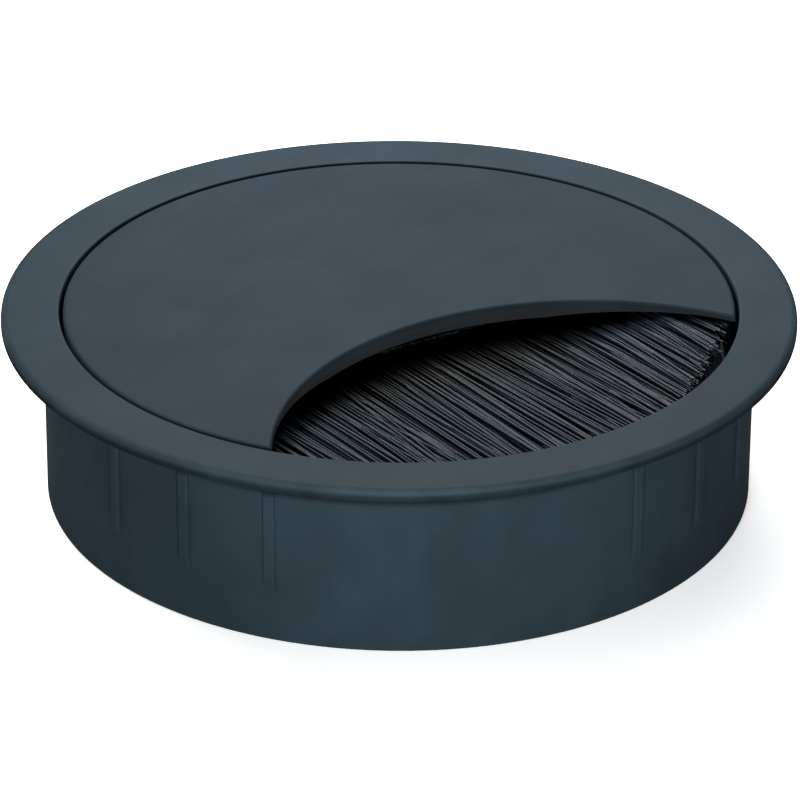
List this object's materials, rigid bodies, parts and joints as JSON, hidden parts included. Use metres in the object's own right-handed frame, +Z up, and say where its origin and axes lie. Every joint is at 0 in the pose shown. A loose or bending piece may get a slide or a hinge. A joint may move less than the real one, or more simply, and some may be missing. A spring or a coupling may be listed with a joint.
{
  "type": "brush desk grommet",
  "caption": "Round flanged desk cable grommet with a turning lift-out cover and a bristle-filled concave cable mouth.",
  "frame": {"origin": "centre of the sleeve's bottom edge, on the axis that the cover turns about", "axes": "+Z up, out of the desk, along the sleeve; -Y towards the middle of the cable mouth; +X to the right seen from the mouth"},
  "size_m": [0.089, 0.089, 0.022],
  "materials": {
    "sleeve_plastic": "fine-grained matte, blue-grey",
    "cover_plastic": "fine matte, blue-grey",
    "ring_acetal": "smooth satin, dark grey",
    "clamp_plastic": "moulded matte, dark grey",
    "bristle_nylon": "satin filament, dark grey",
    "zinc_plated_strip": "zinc-plated folded strip",
    "core_wire": "drawn wire",
    "screw_zinc": "zinc-plated"
  },
  "bodies": {
    "sleeve": {"sleeve": "sleeve_plastic"},
    "turning_ring": {"glide_ring": "ring_acetal"},
    "cover": {"cover": "cover_plastic", "brush_channel": "zinc_plated_strip", "brush_core_wire": "core_wire", "bristle_roots": "bristle_nylon", "brush_clamp": "clamp_plastic", "clamp_screw_left": "screw_zinc", "clamp_screw_right": "screw_zinc"},
    "tuft_01": {"bristle_tuft_01": "bristle_nylon"},
    "tuft_02": {"bristle_tuft_02": "bristle_nylon"},
    "tuft_03": {"bristle_tuft_03": "bristle_nylon"},
    "tuft_04": {"bristle_tuft_04": "bristle_nylon"},
    "tuft_05": {"bristle_tuft_05": "bristle_nylon"},
    "tuft_06": {"bristle_tuft_06": "bristle_nylon"},
    "tuft_07": {"bristle_tuft_07": "bristle_nylon"},
    "tuft_08": {"bristle_tuft_08": "bristle_nylon"},
    "tuft_09": {"bristle_tuft_09": "bristle_nylon"},
    "tuft_10": {"bristle_tuft_10": "bristle_nylon"},
    "tuft_11": {"bristle_tuft_11": "bristle_nylon"},
    "tuft_12": {"bristle_tuft_12": "bristle_nylon"},
    "tuft_13": {"bristle_tuft_13": "bristle_nylon"},
    "tuft_14": {"bristle_tuft_14": "bristle_nylon"}
  },
  "joints": [
    {"name": "cover_turn", "type": "hinge", "parent": "sleeve", "child": "turning_ring", "pos_m": [0, 0, 0.0145], "axis": [0, 0, 1], "continuous": true},
    {"name": "cover_lift", "type": "slide", "parent": "turning_ring", "child": "cover", "axis": [0, 0, 1], "range_m": [0, 0.025]},
    {"name": "tuft_flex_01", "type": "hinge", "parent": "cover", "child": "tuft_01", "pos_m": [-0.02795, -0.0033, 0.0155], "axis": [1, 0, 0], "range_deg": [0, 25], "stiffness_Nm_per_rad": 0.003},
    {"name": "tuft_flex_02", "type": "hinge", "parent": "cover", "child": "tuft_02", "pos_m": [-0.02365, -0.0033, 0.0155], "axis": [1, 0, 0], "range_deg": [0, 25], "stiffness_Nm_per_rad": 0.003},
    {"name": "tuft_flex_03", "type": "hinge", "parent": "cover", "child": "tuft_03", "pos_m": [-0.01935, -0.0033, 0.0155], "axis": [1, 0, 0], "range_deg": [0, 25], "stiffness_Nm_per_rad": 0.003},
    {"name": "tuft_flex_04", "type": "hinge", "parent": "cover", "child": "tuft_04", "pos_m": [-0.01505, -0.0033, 0.0155], "axis": [1, 0, 0], "range_deg": [0, 25], "stiffness_Nm_per_rad": 0.003},
    {"name": "tuft_flex_05", "type": "hinge", "parent": "cover", "child": "tuft_05", "pos_m": [-0.01075, -0.0033, 0.0155], "axis": [1, 0, 0], "range_deg": [0, 25], "stiffness_Nm_per_rad": 0.003},
    {"name": "tuft_flex_06", "type": "hinge", "parent": "cover", "child": "tuft_06", "pos_m": [-0.00645, -0.0033, 0.0155], "axis": [1, 0, 0], "range_deg": [0, 25], "stiffness_Nm_per_rad": 0.003},
    {"name": "tuft_flex_07", "type": "hinge", "parent": "cover", "child": "tuft_07", "pos_m": [-0.00215, -0.0033, 0.0155], "axis": [1, 0, 0], "range_deg": [0, 25], "stiffness_Nm_per_rad": 0.003},
    {"name": "tuft_flex_08", "type": "hinge", "parent": "cover", "child": "tuft_08", "pos_m": [0.00215, -0.0033, 0.0155], "axis": [1, 0, 0], "range_deg": [0, 25], "stiffness_Nm_per_rad": 0.003},
    {"name": "tuft_flex_09", "type": "hinge", "parent": "cover", "child": "tuft_09", "pos_m": [0.00645, -0.0033, 0.0155], "axis": [1, 0, 0], "range_deg": [0, 25], "stiffness_Nm_per_rad": 0.003},
    {"name": "tuft_flex_10", "type": "hinge", "parent": "cover", "child": "tuft_10", "pos_m": [0.01075, -0.0033, 0.0155], "axis": [1, 0, 0], "range_deg": [0, 25], "stiffness_Nm_per_rad": 0.003},
    {"name": "tuft_flex_11", "type": "hinge", "parent": "cover", "child": "tuft_11", "pos_m": [0.01505, -0.0033, 0.0155], "axis": [1, 0, 0], "range_deg": [0, 25], "stiffness_Nm_per_rad": 0.003},
    {"name": "tuft_flex_12", "type": "hinge", "parent": "cover", "child": "tuft_12", "pos_m": [0.01935, -0.0033, 0.0155], "axis": [1, 0, 0], "range_deg": [0, 25], "stiffness_Nm_per_rad": 0.003},
    {"name": "tuft_flex_13", "type": "hinge", "parent": "cover", "child": "tuft_13", "pos_m": [0.02365, -0.0033, 0.0155], "axis": [1, 0, 0], "range_deg": [0, 25], "stiffness_Nm_per_rad": 0.003},
    {"name": "tuft_flex_14", "type": "hinge", "parent": "cover", "child": "tuft_14", "pos_m": [0.02795, -0.0033, 0.0155], "axis": [1, 0, 0], "range_deg": [0, 25], "stiffness_Nm_per_rad": 0.003}
  ]
}
